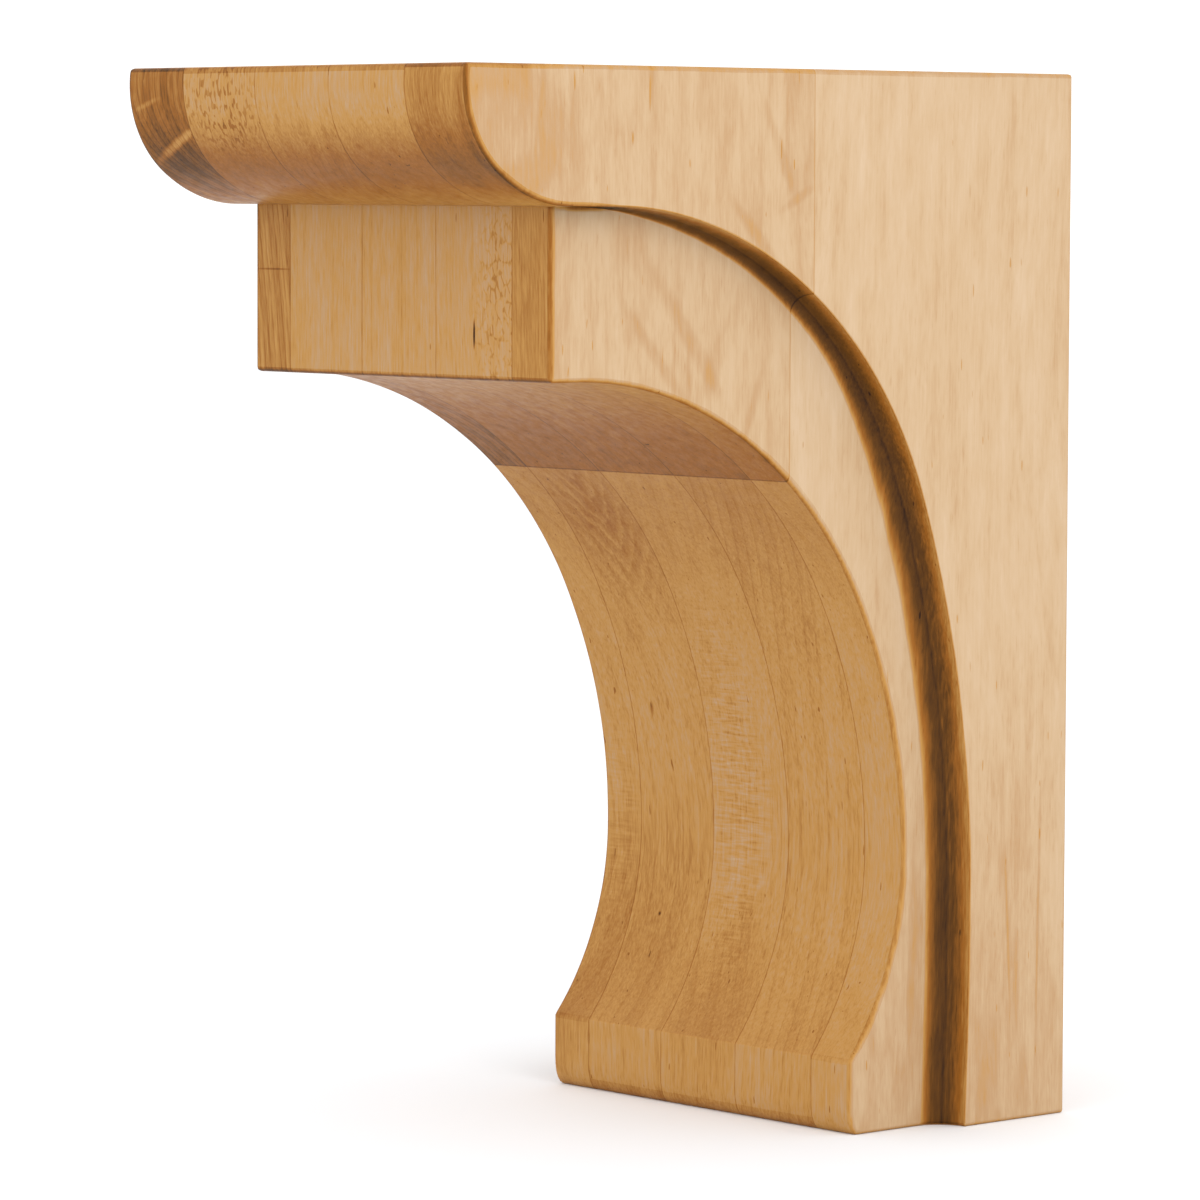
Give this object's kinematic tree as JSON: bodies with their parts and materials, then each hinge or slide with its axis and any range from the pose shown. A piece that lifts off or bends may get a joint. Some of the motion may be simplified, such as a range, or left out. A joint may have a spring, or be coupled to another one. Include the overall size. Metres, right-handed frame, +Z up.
{
  "type": "corbel bracket",
  "caption": "Wooden corbel bracket glued up from maple boards, with a rounded crown, a square step, a deep cove and a coved wall plate.",
  "frame": {"origin": "centre of the wall face, where the bracket is fixed", "axes": "+Y into the wall, +Z up to the crown's top, +X across the bracket's width"},
  "size_m": [0.124, 0.1925, 0.254],
  "materials": {
    "front_inner_boards": "satin clear lacquer over honey-coloured maple",
    "front_outer_boards": "satin clear lacquer over darker, figured maple",
    "back_boards": "satin clear lacquer over pale maple"
  },
  "bodies": {
    "root": {"front_board_1": "front_outer_boards", "front_board_2": "front_inner_boards", "front_board_3": "front_inner_boards", "front_board_4": "front_inner_boards", "front_board_5": "front_outer_boards", "back_board_1": "back_boards", "back_board_2": "back_boards", "back_board_3": "back_boards", "back_board_4": "back_boards", "back_board_5": "back_boards"}
  },
  "joints": []
}
